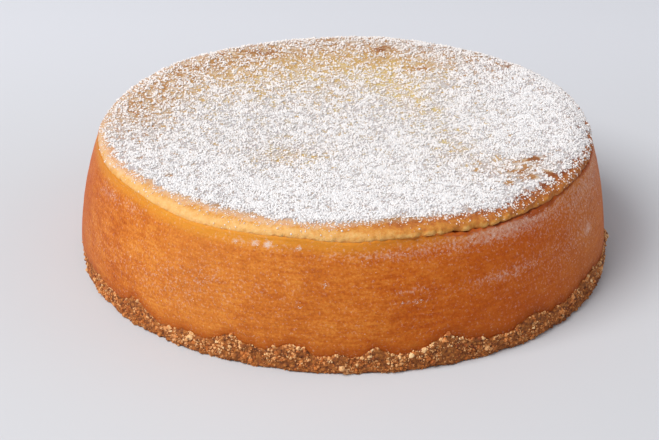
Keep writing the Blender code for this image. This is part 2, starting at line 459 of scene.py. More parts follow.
# Angle in degrees, height and half width in degrees of each wave in the lip, under which
# the side ends: the crust shrank unevenly
LIP_WAVES = (
    (-54, 0.0010, 9), (-33, -0.0010, 10), (-11, 0.0004, 6), (1, -0.0005, 4),
    (14, 0.0008, 9), (31, -0.0005, 5), (62, 0.0007, 8), (85, -0.0006, 12),
    (112, 0.0008, 14), (141, -0.0007, 12), (170, 0.0006, 10), (196, -0.0008, 13),
    (228, 0.0007, 12), (262, -0.0006, 12), (283, 0.0004, 8),
)

# Angle, height, half widths and strength of each smear of sugar on the wall
DUST = (
    (35, 0.0486, 17, 0.0044, 0.64), (70, 0.0465, 16, 0.0070, 0.36),
    (64, 0.0390, 22, 0.0100, 0.12), (50, 0.0260, 24, 0.0140, 0.10),
    (-44, 0.0240, 24, 0.0080, 0.14), (-28, 0.0330, 14, 0.0080, 0.12),
    (6, 0.0462, 12, 0.0022, 0.28), (13, 0.0328, 4, 0.0012, 0.34), (33, 0.0316, 9, 0.0022, 0.36),
    (13, 0.0284, 5, 0.0008, 0.26), (63, 0.0295, 2, 0.0022, 0.50), (56, 0.0305, 10, 0.0060, 0.12),
    (-64, 0.0440, 3, 0.0030, 0.26), (-59, 0.0452, 3, 0.0025, 0.32),
    (-52, 0.0460, 4, 0.0030, 0.26), (-18, 0.0486, 7, 0.0014, 0.30),
    (-15.6, 0.0489, 0.7, 0.0010, 1.3), (-18.2, 0.0488, 0.8, 0.0008, 0.8),
    (-22.5, 0.0482, 0.6, 0.0007, 0.7), (-9.2, 0.0487, 0.6, 0.0007, 0.8),
    (-4, 0.0358, 1, 0.0008, 0.4), (110, 0.0420, 16, 0.0060, 0.40),
    (160, 0.0450, 20, 0.0050, 0.35), (215, 0.0400, 18, 0.0060, 0.30),
    (262, 0.0440, 15, 0.0050, 0.26),
)

# Angle, strength and half width: where the oven browned the side more, and where less. The
# deeper one at -90 degrees and the browner one are painted shade on the far left edge
DEEPER_BAKE_AND_PAINTED_SHADE = ((40, 0.55, 32), (92, 0.30, 30), (150, 0.35, 25), (238, 0.45, 30), (-90, 0.50, 18))
PAINTED_SHADE_AT_LEFT_EDGE = ((-80, 0.35, 18),)
BAKED_PALER = ((-31, 0.30, 14), (-8, 0.12, 12), (62, 0.20, 10), (190, 0.30, 20))

# The strip of the side just under the lip where the crust tore off it, coloured red-brown as
# painted shadow of the lip: how far down it reaches, and its waves as angle, how much further
# and half width
LIP_SHADOW_PAINT_DEPTH = 0.0010
LIP_SHADOW_PAINT_WAVES = (
    (24, 0.0004, 4), (34, -0.0005, 5), (46, 0.0014, 5), (58, -0.0005, 6), (120, 0.0010, 40),
)

BEHIND_CRUMBS = 0.0014  # how far the side runs on down behind them
UP_THE_SIDE = 54  # rings


def torn(angle):
    """Where the crust tore free of the wall: 0 at the left and front, 1 from the right round
    to the back. A sine of the angle, turned 11 degrees and made steeper."""
    return smooth(0.5 + 0.9 * np.sin(angle - 0.2))


def crack_height(angle):
    """How far the wall ends below the lip: it runs a fifth of a millimetre into it where they
    hold together, and stops an uneven half millimetre short of it where they tore."""
    x, y = spot(FOOT_RADIUS, angle)
    uneven = 0.0003 * lumps(x, y, 0, 0.0055, 41) + 0.0006 * lumps(x, y, 0, 0.0017, 44)
    return -0.0002 + torn(angle) * (0.0007 + uneven)


def dust_share(angle, height):
    """How much of the wall sugar veils: the sum of bell curves in angle and height."""
    share = np.zeros_like(angle)
    for degrees, at_height, half_angle, half_height, strength in DUST:
        away = ((np.degrees(angle) - degrees + 180) % 360 - 180) / half_angle
        share += strength * np.exp(-(away**2) - ((height - at_height) / half_height) ** 2)
    return share


def where_on(thing):
    """A piece's vertices as radius, angle and height."""
    flat = np.empty(len(thing.data.vertices) * 3)
    thing.data.vertices.foreach_get("co", flat)
    x, y, z = flat.reshape(-1, 3).T
    return np.hypot(x, y), np.arctan2(x, -y), z


def wall(height, angle):
    """Radius of the wall: its line, with broad dents of a seventh of a millimetre and small
    ones of a twentieth."""
    out = wall_radius(height)
    out = out + out_of_round(out, height, angle)
    x, y = spot(out, angle)
    out = out + 0.00014 * lumps(x, y, height, 0.016, 42)
    return out + 0.00005 * lumps(x, y, height, 0.004, 43)


def side_skin():
    """The wall from behind the crumbs, where it draws in, up to the crust and in under it."""
    angle = all_round(AROUND)
    top = LIP_HEIGHT + waves(angle, LIP_WAVES) - crack_height(angle)
    edge = crumb_edge(angle)
    up = np.linspace(0, 1, UP_THE_SIDE)[:, None]
    height = edge - BEHIND_CRUMBS + up * (top - edge + BEHIND_CRUMBS)
    out = wall(height, angle) + (0.0002 - 0.0003 * torn(angle)) * smooth((up - 0.97) / 0.03)
    out = out - 0.8 * np.maximum(edge - height, 0)
    under = np.array([0.5, 0.9])[:, None] * FOOT_RADIUS + 0 * angle
    inside = out[-1:] - np.array([0.0012, 0.0035, 0.05])[:, None]
    roof = top + np.array([0.0001, 0.0002, -0.002])[:, None]
    radius = np.concatenate([under, out, inside])
    height = np.concatenate([0 * under + BASE_HEIGHT, height, roof])
    shown = np.array([False] * 2 + [True] * (UP_THE_SIDE + 1) + [False] * 2)
    return radius, angle, height, shown


cheese_side = turned("cheese_side", *side_skin(), in_strips)

# What the material reads: the strip of 6 mm that the lip shaded from the heat, fainter where it
# tore, and partly a painted highlight; the foot, browned 5 mm up and on the torn side faintly up
# to 14 mm, partly as painted shade over the crumbs; the smears of sugar; the strip under the
# torn lip, a painted shadow of the lip; and the clouds of the bake
out, angle, height = where_on(cheese_side)
under_lip = LIP_HEIGHT + waves(angle, LIP_WAVES) - height
over_crumbs = height - crumb_edge(angle)
# The strip is a paler bake under the lip and partly a painted highlight along the wall's top
mark(cheese_side, "strip", 0.72 * smooth((0.0060 - under_lip) / 0.0050) * (1 - 0.8 * torn(angle)))
# The foot is browner, partly as painted shade over the crumbs, and the far left edge darker as
# painted shade
browner_and_painted_shade = np.maximum(0.7 * smooth(1 - over_crumbs / 0.0055), waves(angle, PAINTED_SHADE_AT_LEFT_EDGE))
browner_and_painted_shade += 0.25 * torn(angle) * smooth(1 - over_crumbs / 0.0140)
mark(cheese_side, "browner_and_painted_shade", browner_and_painted_shade)
mark(cheese_side, "dust", dust_share(angle, height))
# The seam is a painted shadow of the torn lip, reaching this far down the wall
bare = LIP_SHADOW_PAINT_DEPTH + waves(angle, LIP_SHADOW_PAINT_WAVES) + crack_height(angle) - under_lip
mark(cheese_side, "seam", torn(angle) * smooth(0.5 + bare / 0.0015))
mark(cheese_side, "deeper_bake_and_painted_shade", waves(angle, DEEPER_BAKE_AND_PAINTED_SHADE))
mark(cheese_side, "paler", waves(angle, BAKED_PALER))

# Baked cheese against tin: a moist satin skin, golden brown, that lets a little light in.
# Broad clouds of a deeper bake, with painted shade on the far left edge, fine lines drawn
# round it, mottling and a fine grain, pores under a millimetre wide, a brighter strip where the
# lip hung over it, partly a painted highlight, a browner one where butter rose from below,
# partly painted shade over the crumbs, a red-brown painted shadow under the lip where the
# crust tore off it, and powdery specks of the sugar, which are drawn a millimetre wide so that
# they show.
baked, shader = finish("baked_cheese_side")
place = add(baked, "ShaderNodeTexCoord", {}).outputs["Object"]
drawn = add(baked, "ShaderNodeMapping", {"Vector": place, "Scale": (1.0, 1.0, 6.0)})
bake = 0.5 - 0.5 * (0.8 + 0.9 + 0.5 + 1.1)  # keeps the mean at a half
for vector, size, detail, weight in (
    (place, 24, 3.0, 0.8), (drawn, 9, 5.0, 0.9), (place, 4.5, 3.0, 0.5), (place, 1.0, 2.0, 1.1),
):
    noise = add(
        baked, "ShaderNodeTexNoise",
        {"Vector": vector, "Scale": 1000 / size, "Detail": detail, "Roughness": 0.6},
    )
    bake = add(baked, "ShaderNodeMath", {0: noise, 1: weight, 2: bake}, operation="MULTIPLY_ADD")
side_colour = add(
    baked, "ShaderNodeValToRGB", {"Fac": bake},
    stops=((0.15, "#a84c14"), (0.85, "#dd8a38"), (0.50, "#c66b21")),
)
# Tints: the deeper one also paints shade on the far left edge, the strip is partly a painted
# highlight, and the browner one is partly painted shade at the foot and on the far left edge
for name, tint in (
    ("deeper_bake_and_painted_shade", "#c9560f"), ("paler", "#dc9044"), ("strip", "#e09631"), ("browner_and_painted_shade", "#a34b14"),
):
    share = add(baked, "ShaderNodeAttribute", {}, attribute_name=name).outputs["Fac"]
    side_colour = add(
        baked, "ShaderNodeMixRGB", {"Fac": share, "Color1": side_colour, "Color2": tint}
    )
pores = add(
    baked, "ShaderNodeTexVoronoi", {"Vector": place, "Scale": 1000 / 3.2, "Randomness": 1.0}
).outputs["Distance"]
pores = add(
    baked, "ShaderNodeMapRange",
    {"Value": pores, "From Min": 0.16, "From Max": 0.05, "To Max": 0.22},
)
side_colour = add(
    baked, "ShaderNodeMixRGB", {"Fac": pores, "Color1": side_colour, "Color2": "#8f4616"}
)
puff = add(
    baked, "ShaderNodeTexNoise",
    {"Vector": place, "Scale": 1000 / 1.1, "Detail": 3.0, "Roughness": 0.7},
)
dust = add(baked, "ShaderNodeAttribute", {}, attribute_name="dust").outputs["Fac"]
veil = add(baked, "ShaderNodeMath", {0: dust, 1: 0.42, 2: puff}, operation="MULTIPLY_ADD")
veil = add(
    baked, "ShaderNodeMapRange",
    {"Value": veil, "From Min": 0.58, "From Max": 0.95, "To Max": 0.62},
)
side_colour = add(
    baked, "ShaderNodeMixRGB", {"Fac": veil, "Color1": side_colour, "Color2": "#f0dccf"}
)
# The seam: a red-brown painted shadow of the torn lip on the wall below it
seam = add(baked, "ShaderNodeAttribute", {}, attribute_name="seam").outputs["Fac"]
seam = add(baked, "ShaderNodeMath", {0: seam, 1: 0.95, 2: puff}, operation="MULTIPLY_ADD")
seam = add(
    baked, "ShaderNodeMapRange",
    {"Value": seam, "From Min": 0.80, "From Max": 1.25, "To Max": 0.85},
)
side_colour = add(
    baked, "ShaderNodeMixRGB", {"Fac": seam, "Color1": side_colour, "Color2": "#b04c0e"}
)
dent = add(
    baked, "ShaderNodeTexNoise",
    {"Vector": drawn, "Scale": 1000 / 4.5, "Detail": 6.0, "Roughness": 0.7},
)
relief = add(baked, "ShaderNodeMath", {0: pores, 1: -0.8, 2: dent}, operation="MULTIPLY_ADD")
bump = add(baked, "ShaderNodeBump", {"Height": relief, "Strength": 0.35, "Distance": 0.0008})
add(
    baked, shader,
    {
        "Base Color": side_colour, "Roughness": 0.5, "Specular IOR Level": 0.08,
        "Subsurface Weight": 0.15, "Subsurface Radius": (3.0, 1.0, 0.4),
        "Subsurface Scale": 0.001, "Normal": bump,
    },
)
cheese_side.data.materials.append(baked)

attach(cheese_side, "root")
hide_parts("cheese_filling")


# ---------------------------------------------------------------------------------------
# The crust. The top of the same custard, dried and coloured by the oven's air. It rose at
# the rim and sank in the middle as it cooled, and its lip pulled away from the wall and
# stands over it, pale where the tin shaded it.

LIP_OVERHANG = 0.0007  # where it hangs over furthest
LIP_RADIUS = FOOT_RADIUS - WALL_LEAN + LIP_OVERHANG
RIM_HEIGHT = LIP_HEIGHT + 0.0050
MIDDLE_SAG = 0.0027

# Angle in degrees, height and half width in degrees: the rim rose unevenly
RIM_WAVES = (
    (-70, -0.0009, 60), (20, -0.0004, 25), (105, 0.0011, 55), (131, 0.0008, 20),
    (205, 0.0004, 18),
)

# Place, depth and size of the dips in the top
HOLLOWS = (
    (-0.024, -0.034, 0.0016, 0.020),
    (-0.030, -0.063, 0.0007, 0.010),
    (0.058, 0.040, 0.0005, 0.016),
)

# Angle, height and half width of the notches in the lip's edge, from bubbles that burst
LIP_NOTCHES = (
    (-29.8, 0.0004, 0.5), (-25.0, 0.0004, 0.4), (-19.5, 0.0004, 0.6), (-14.3, 0.0006, 0.6),
    (-12.5, 0.0007, 0.6), (-8.0, 0.0005, 0.5), (-6.5, 0.0004, 0.4), (-4.8, -0.0003, 0.4),
    (-2.0, 0.0005, 0.6), (-0.2, 0.0005, 0.6), (6.0, 0.0004, 0.5), (13.8, -0.0005, 0.5),
    (-41, 0.0003, 0.5), (-58, 0.0003, 0.5), (22.8, 0.0009, 1.4), (28, 0.0006, 1.1),
    (34, 0.0005, 0.6), (43, 0.0005, 1.0), (55, 0.0005, 0.5), (66, 0.0006, 0.6),
)

# The sugar. It ends at a radius, but for waves: angle, how much further out it reaches there
# and half width
SUGAR_EDGE = 0.1004
SUGAR_FADE = 0.0140  # over how much it thins out there
SUGAR_COVER = 0.80  # share of the crust that it covers in the middle
COVER_BACK = -4.6  # change in that share for each metre further back
COVER_FRONT = 1.8  # and for each metre further forward
SUGAR_REACH = (
    (-68, 0.0018, 26), (-36, -0.0012, 5), (-8, 0.0010, 8), (9, -0.0022, 7), (37, 0.0032, 10),
    (60, 0.0036, 16), (80, 0.0024, 12), (105, 0.0072, 35), (180, 0.0046, 45),
    (215, 0.0036, 28), (255, 0.0052, 35),
)

# Each patch of the top where the sugar lies thicker or thinner: place, half lengths, turn in
# degrees and how much more of the crust it covers there
DRIFTS = (
    (0.000, 0.072, 0.034, 0.016, 0, -0.12), (-0.095, 0.030, 0.020, 0.045, 0, -0.10),
    (0.082, 0.045, 0.030, 0.050, 0, 0.27), (0.031, 0.024, 0.050, 0.009, -72, -0.16),
    (0.046, -0.034, 0.012, 0.020, 0, -0.16), (-0.024, -0.034, 0.018, 0.012, 0, -0.28),
    (-0.055, 0.055, 0.030, 0.022, 0, -0.12), (0.000, 0.096, 0.060, 0.014, 0, 0.20),
    (0.050, 0.092, 0.022, 0.014, 0, 0.22),
    (0.070, -0.052, 0.018, 0.012, 0, -0.34), (-0.090, 0.004, 0.022, 0.036, 0, -0.20),
    (0.077, -0.043, 0.0042, 0.0014, 23, -1.2), (0.083, -0.057, 0.0036, 0.0018, -43, -1.4),
    (0.072, -0.053, 0.0032, 0.0011, 35, -0.9), (0.075, -0.060, 0.0018, 0.0014, 0, -0.9),
    (0.065, -0.065, 0.0018, 0.0014, 0, -0.8), (-0.070, -0.058, 0.0022, 0.0014, -30, -0.5),
    (-0.040, 0.079, 0.007, 0.004, 0, -0.20), (0.018, 0.085, 0.005, 0.004, 0, -0.25),
    (0.037, 0.060, 0.006, 0.004, 0, -0.20), (0.078, 0.060, 0.006, 0.004, 0, -0.25),
)

# Each patch where the crust is browner or paler: place, half lengths, turn and how much
SCORCHES = (
    (0.028, 0.030, 0.050, 0.022, -72, -0.12), (-0.040, 0.079, 0.007, 0.004, 0, 0.30),
    (0.018, 0.085, 0.005, 0.004, 0, 0.40), (0.037, 0.060, 0.006, 0.004, 0, 0.30),
    (0.078, 0.060, 0.006, 0.004, 0, 0.25), (-0.081, 0.015, 0.003, 0.002, 0, 0.50),
    (0.077, -0.043, 0.006, 0.003, 23, 0.35), (0.083, -0.057, 0.006, 0.004, -43, 0.30),
    (0.072, -0.055, 0.008, 0.005, 35, 0.20),
)

# Angle, how much browner the roll is there, and half width
ROLL_TOAST = ((-68, 0.20, 18), (-20, 0.07, 16), (12, 0.07, 6), (25, -0.06, 8), (52, -0.04, 18))

CRUST_AROUND = 1280  # points in a ring, more than in the wall's because the lip is ragged


def patches(x, y, places):
    """The sum of soft ellipses, each its strength times exp(-(along^2 + across^2)), both
    counted in half lengths."""
    total = np.zeros_like(x)
    for at_x, at_y, long, wide, turn, strength in places:
        c, s = math.cos(math.radians(turn)), math.sin(math.radians(turn))
        along = ((x - at_x) * c + (y - at_y) * s) / long
        across = ((y - at_y) * c - (x - at_x) * s) / wide
        total += strength * np.exp(-(along**2) - across**2)
    return total


def past_sugar(x, y):
    """How far out a spot is from the uneven line along which the sugar ends."""
    edge = SUGAR_EDGE + waves(np.arctan2(x, -y), SUGAR_REACH)
    edge += 0.0009 * lumps(x, y, 0, 0.0060, 61) + 0.0007 * lumps(x, y, 0, 0.0025, 62)
    return np.hypot(x, y) - edge


def sugar_share(x, y):
    """How thickly sugar covers the crust: more towards the front, by patches more or less,
    and fading out over 14 mm where the crust rolls down."""
    share = SUGAR_COVER + COVER_BACK * np.maximum(y, 0) - COVER_FRONT * np.minimum(y, 0)
    share = share + patches(x, y, DRIFTS)
    fade = smooth((SUGAR_FADE / 2 - past_sugar(x, y)) / SUGAR_FADE) ** 0.7
    return np.clip(share, 0.02, 1.0) * fade


def fall(x, y):
    """How much sugar fell on a spot, 1 being enough for a single layer: minus the logarithm of
    the share that should stay bare, times the exponential of clots of 2 mm in drifts of 4."""
    share = sugar_share(x, y)
    swing = 0.8 * lumps(x, y, 0, 0.0020, 71) + 0.7 * lumps(x, y, 0, 0.0042, 72)
    return -np.log(1 - 0.96 * share**1.4) * np.exp(swing - 0.13)


def toast_share(x, y):
    """How brown the crust is: little in the middle, more from two thirds of the way out."""
    out = np.hypot(x, y) / RIM_RADIUS
    return 0.16 + 0.42 * smooth((out - 0.55) / 0.5) + patches(x, y, SCORCHES)


def roll_toast(out, angle, below):
    """How brown the roll is, given the depth below the lip's edge: pale yellow at the lip and
    golden higher up where it holds to the wall, brown where it tore, but for a pale rim that
    ends 55 degrees round to the right, and golden brown underneath."""
    high = 1 - smooth((out - 0.1022) / 0.0032)
    rim = smooth((out - 0.1060) / 0.0006) * smooth(2.4 - 2.5 * angle)
    under = smooth((below + 0.0001) / 0.0003)
    loose = torn(angle)
    held = 0.10 + 0.24 * high + waves(angle, ROLL_TOAST)
    return held + loose * (0.66 - 0.30 * rim) + (0.20 + 0.25 * loose) * under


def crust(radius, angle):
    """A point of the crust's upper side: a quarter ellipse from the lip to the rim, then a
    bowl whose depth is a cosine squared, less the dips, with wrinkles a sixth of a
    millimetre deep. The lip is ragged and notched, and draws in where it holds."""
    turn = np.clip((radius - RIM_RADIUS) / (LIP_RADIUS - RIM_RADIUS), 0, 1)
    roll = (RIM_HEIGHT - LIP_HEIGHT) * np.sqrt(1 - turn**2)
    sag = MIDDLE_SAG * np.cos(math.pi / 2 * np.clip(radius / RIM_RADIUS, 0, 1)) ** 2
    x, y = spot(radius, angle)
    dips = sum(
        deep * np.exp(-((x - at_x) ** 2 + (y - at_y) ** 2) / size**2)
        for at_x, at_y, deep, size in HOLLOWS
    )
    up_roll = smooth((LIP_RADIUS - radius) / (LIP_RADIUS - RIM_RADIUS))
    rim = np.clip(radius / RIM_RADIUS, 0, 1) ** 2 * waves(angle, RIM_WAVES) - dips
    wrinkle = 0.00016 * lumps(x, y, 0, 0.0070, 53)
    height = LIP_HEIGHT + roll - sag + up_roll * (rim + wrinkle)
    height = height + (1 - up_roll) * waves(angle, LIP_WAVES)

    loose = torn(angle)
    rag = (0.00018 + 0.00045 * loose) * lumps(x, y, 0, 0.0024, 51)
    rag = rag + (0.00010 + 0.00025 * loose) * lumps(x, y, 0, 0.0013, 52)
    notch = waves(angle, LIP_NOTCHES)
    height = height + turn**12 * (rag + notch)
    tuck = turn**6 * (0.0009 - 0.0004 * loose) + turn**12 * (0.6 * notch - 0.8 * rag)
    out = radius + out_of_round(radius, height, angle) - tuck
    return np.stack([*spot(out, angle), height], axis=-1)


def crust_skin():
    """The crust from underneath: out under the lip, round its edge, over the roll and in
    across the bowl. The lip's edge is a half circle a quarter of a millimetre in radius, and
    thinner where it tore."""
    angle = all_round(CRUST_AROUND)
    share = np.sin(np.linspace(math.pi / 2, 0, 16, endpoint=False))
    rolled = RIM_RADIUS + (LIP_RADIUS - RIM_RADIUS) * share
    flat = np.linspace(RIM_RADIUS, 0, 46, endpoint=False)
    over = crust(np.concatenate([rolled, flat])[:, None], angle)
    edge = over[0]
    turn = np.linspace(-math.pi / 2, math.pi / 2, 6)[:-1, None]
    bead = 0.00028 - 0.00010 * torn(angle)
    edge_out = np.hypot(edge[:, 0], edge[:, 1])
    lip_out = edge_out - bead + bead * np.cos(turn)
    lip_height = edge[:, 2] - bead + bead * np.sin(turn)
    below = edge_out - np.array([0.05, 0.0018, 0.0008])[:, None]
    below_height = edge[:, 2] - 2 * bead - np.array([0.0030, 0.0014, 0.0001])[:, None]
    radius = np.concatenate([below, lip_out, np.hypot(over[..., 0], over[..., 1])])
    height = np.concatenate([below_height, lip_height, over[..., 2]])
    shown = np.array([False] * 2 + [True] * (len(radius) - 2))
    return radius, angle, height, shown


def in_a_disc(u, v, turn):
    """Lays the skin out as a disc, its last ring in the middle."""
    away = 0.495 * (1 - v)
    way = 2 * math.pi * u
    return np.stack([0.5 + away * np.sin(way), 0.5 - away * np.cos(way)], axis=-1)


cheese_top = turned("cheese_top", *crust_skin(), in_a_disc)

# What the material reads: the film of sugar, how brown the crust is, the haze of sugar that
# goes 5 mm past the film's edge, and how far the roll's own colours hold, least at the back left
out, angle, height = where_on(cheese_top)
x, y = spot(out, angle)
share = sugar_share(x, y)
past = past_sugar(x, y)
mark(cheese_top, "sugar", share - 1.2 * smooth((past + 0.0040) / 0.0060))
mark(cheese_top, "toast", toast_share(x, y))
haze = smooth(1 - past / 0.0050) * smooth((out - 0.0950) / 0.0050)
mark(cheese_top, "haze", haze * (1 - 0.6 * torn(angle)))
# Where the sugar lies thick, the film under it is greyed as painted shade between the flecks
mark(cheese_top, "thick", smooth((share - 0.35) / 0.40))
out -= out_of_round(out, height, angle)
away = smooth(0.5 + 1.5 * (np.cos(angle + 2.6) - 0.35))
mark(cheese_top, "roll", smooth((out - 0.0975) / 0.0045) * (1 - 0.8 * away))
below_lip = LIP_HEIGHT + waves(angle, LIP_WAVES) - height
mark(cheese_top, "roll_toast", roll_toast(out, angle, below_lip))

# Baked custard crust: matt and dry, cream in the middle, toasted towards the rim, and pale
# yellow to brown where it rolls over the tin's edge. The finest of the sugar coats it, as a
# film with holes of 4 mm and a haze in puffs of 1.4 mm, which also roughen it: the powder
# itself is too fine to show, so both are drawn as coarse as that. The film is drawn darker
# than sugar, beige where it lies thin and grey where it lies thick, as painted shade between
# the flecks.
crusted, shader = finish("baked_cheese_crust")
place = add(crusted, "ShaderNodeTexCoord", {}).outputs["Object"]
colours = []
for name, size, detail, swing, stops in (
    (
        "toast", 9, 0.6, 0.7,
        (
            (0.0, "#dabf7c"), (1.0, "#7a421c"),
            (0.25, "#cba468"), (0.5, "#b98853"), (0.75, "#9f673c"),
        ),
    ),
    (
        "roll_toast", 2.4, 0.75, 1.1,
        (
            (0.0, "#eebe7c"), (1.0, "#843e12"),
            (0.28, "#e3aa60"), (0.5, "#d28a3a"), (0.75, "#b86a2e"),
        ),
    ),
):
    share = add(crusted, "ShaderNodeAttribute", {}, attribute_name=name).outputs["Fac"]
    blotch = add(
        crusted, "ShaderNodeTexNoise",
        {"Vector": place, "Scale": 1000 / size, "Detail": 5.0, "Roughness": detail},
    )
    bake = add(
        crusted, "ShaderNodeMath", {0: blotch, 1: swing, 2: -swing / 2}, operation="MULTIPLY_ADD"
    )
    bake = add(crusted, "ShaderNodeMath", {0: bake, 1: share}, operation="ADD")
    colours.append(add(crusted, "ShaderNodeValToRGB", {"Fac": bake}, stops=stops))
roll = add(crusted, "ShaderNodeAttribute", {}, attribute_name="roll").outputs["Fac"]
bare_colour = add(
    crusted, "ShaderNodeMixRGB", {"Fac": roll, "Color1": colours[0], "Color2": colours[1]}
)
haze = add(crusted, "ShaderNodeAttribute", {}, attribute_name="haze").outputs["Fac"]
puff = add(
    crusted, "ShaderNodeTexNoise",
    {"Vector": place, "Scale": 1000 / 1.4, "Detail": 4.0, "Roughness": 0.7},
)
haze = add(crusted, "ShaderNodeMath", {0: haze, 1: 0.75, 2: puff}, operation="MULTIPLY_ADD")
haze = add(
    crusted, "ShaderNodeMapRange",
    {"Value": haze, "From Min": 0.80, "From Max": 1.10, "To Max": 0.28},
)
bare_colour = add(
    crusted, "ShaderNodeMixRGB", {"Fac": haze, "Color1": bare_colour, "Color2": "#e9d3c4"}
)
film = add(crusted, "ShaderNodeAttribute", {}, attribute_name="sugar").outputs["Fac"]
holes = add(
    crusted, "ShaderNodeTexNoise",
    {"Vector": place, "Scale": 1000 / 4.0, "Detail": 4.0, "Roughness": 0.75},
)
film = add(crusted, "ShaderNodeMath", {0: holes, 1: 3.5, 2: film}, operation="MULTIPLY_ADD")
film = add(
    crusted, "ShaderNodeMapRange",
    {"Value": film, "From Min": 2.02, "From Max": 2.52, "To Max": 0.95},
)
# The film's grey where sugar lies thick is painted shade between the flecks
thick = add(crusted, "ShaderNodeAttribute", {}, attribute_name="thick").outputs["Fac"]
film_painted_shade_colour = add(
    crusted, "ShaderNodeMixRGB", {"Fac": thick, "Color1": "#dec5a8", "Color2": "#c4bdbc"}
)
crust_colour = add(
    crusted, "ShaderNodeMixRGB", {"Fac": film, "Color1": bare_colour, "Color2": film_painted_shade_colour}
)
relief = add(crusted, "ShaderNodeMath", {0: puff, 1: 4.0, 2: film}, operation="MULTIPLY_ADD")
bump = add(crusted, "ShaderNodeBump", {"Height": relief, "Strength": 0.5, "Distance": 0.0003})
add(
    crusted, shader,
    {
        "Base Color": crust_colour, "Roughness": 0.6, "Specular IOR Level": 0.2,
        "Subsurface Weight": 0.15, "Subsurface Radius": (3.0, 1.4, 0.6),
        "Subsurface Scale": 0.001, "Normal": bump,
    },
)
cheese_top.data.materials.append(crusted)

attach(cheese_top, "root")
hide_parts("cheese_filling")


# ---------------------------------------------------------------------------------------
# The sugar. Icing sugar, shaken through a fine sieve when the cake was cold: powder that
# clings in flecks of half a millimetre to two, heaped on each other where it fell thick.

SUGAR = (  # kind, how many, sizes, how flat, how far it may lie on what fell before
    ("sugar_dust", 20000, 0.00045, 0.00070, 0.8, 0.0001),
    ("sugar_grains", 24000, 0.00070, 0.00105, 0.8, 0.0002),
    ("sugar_flecks", 24000, 0.00095, 0.00140, 0.8, 0.0002),
    ("sugar_clumps", 6000, 0.00130, 0.00180, 0.7, 0.0002),
)
DEEPEST = 10  # how many layers of it a spot can hold
SIDE_SPECKS = 4000  # how many are on the wall at most, where sugar drifted down it
IN_A_SPOT = 10  # how many make a little heap on the wall
NEARBY = 0.0003  # how far from a place the surface's slope there is taken
NEARBY_TURN = 0.003  # and how far round from it, in radians

# Angle, height and half width of the little heaps that stuck to the wall
SPOTS = (
    (-22.5, 0.0482, 0.0008), (-18.2, 0.0488, 0.0009), (-15.5, 0.0490, 0.0009),
    (-9.2, 0.0488, 0.0007), (-8.5, 0.0268, 0.0004), (-3.7, 0.0358, 0.0005),
    (11.0, 0.0285, 0.0005), (13.8, 0.0282, 0.0005), (14.8, 0.0288, 0.0005),
    (62.8, 0.0295, 0.0009),
)


def flat_turn(along, across, rng):
    """Frames that lie on a surface, given two directions along it at each place: the first
    axis is turned at random in the surface, and the third stands on it."""
    up = np.cross(along, across)
    up /= np.linalg.norm(up, axis=1, keepdims=True)
    along = along / np.linalg.norm(along, axis=1, keepdims=True)
    across = np.cross(up, along)
    turn = rng.uniform(0, 2 * math.pi, (len(up), 1))
    first = along * np.cos(turn) + across * np.sin(turn)
    second = across * np.cos(turn) - along * np.sin(turn)
    return np.stack([first, second, up], axis=1)


def sieved(count, rng):
    """Places on the crust as radius and angle: drawn evenly over it, and kept with a chance
    that goes with how much sugar fell there."""
    tries = 14 * count
    radius = LIP_RADIUS * np.sqrt(rng.uniform(0, 1, tries))
    angle = rng.uniform(0, 2 * math.pi, tries)
    x, y = spot(radius, angle)
    kept = np.flatnonzero(rng.uniform(0, DEEPEST, tries) < fall(x, y))[:count]
    return radius[kept], angle[kept]


def drifted(count, rng):
    """Places on the wall as height and angle: a few anywhere, most where it is dusty, by the
    square of the dust's strength, and a bell curve of them about each spot."""
    tries = 40 * count
    height = rng.uniform(BASE_HEIGHT + 0.005, LIP_HEIGHT - 0.0012, tries)
    angle = rng.uniform(0, 2 * math.pi, tries)
    chance = 0.0005 + 0.2 * dust_share(angle, height) ** 2
    kept = np.flatnonzero(rng.uniform(0, 1, tries) < chance)[:count]
    spots = np.repeat(np.array(SPOTS), IN_A_SPOT, axis=0)
    strays = rng.normal(size=(len(spots), 2)) * spots[:, 2:] / 1.4
    spot_angle = np.radians(spots[:, 0]) + strays[:, 0] / FOOT_RADIUS
    height = np.concatenate([height[kept], spots[:, 1] + strays[:, 1]])
    return height, np.concatenate([angle[kept], spot_angle])


# Icing sugar: matt, and a neutral white where it lies thick. The tone goes down to a warm
# white where it lies thin, and to peach on stray flecks, which the crust shines through.
iced, shader = finish("sieved_icing_sugar")
tone = add(iced, "ShaderNodeAttribute", {}, attribute_name="tone").outputs["Fac"]
sugar_colour = add(
    iced, "ShaderNodeValToRGB", {"Fac": tone},
    stops=((0.0, "#ffd9bf"), (1.0, "#f2f1f2"), (0.3, "#fff0e7")),
)
add(
    iced, shader,
    {
        "Base Color": sugar_colour, "Roughness": 0.9, "Subsurface Weight": 0.5,
        "Subsurface Radius": (1.0, 1.0, 1.0), "Subsurface Scale": 0.0006,
    },
)

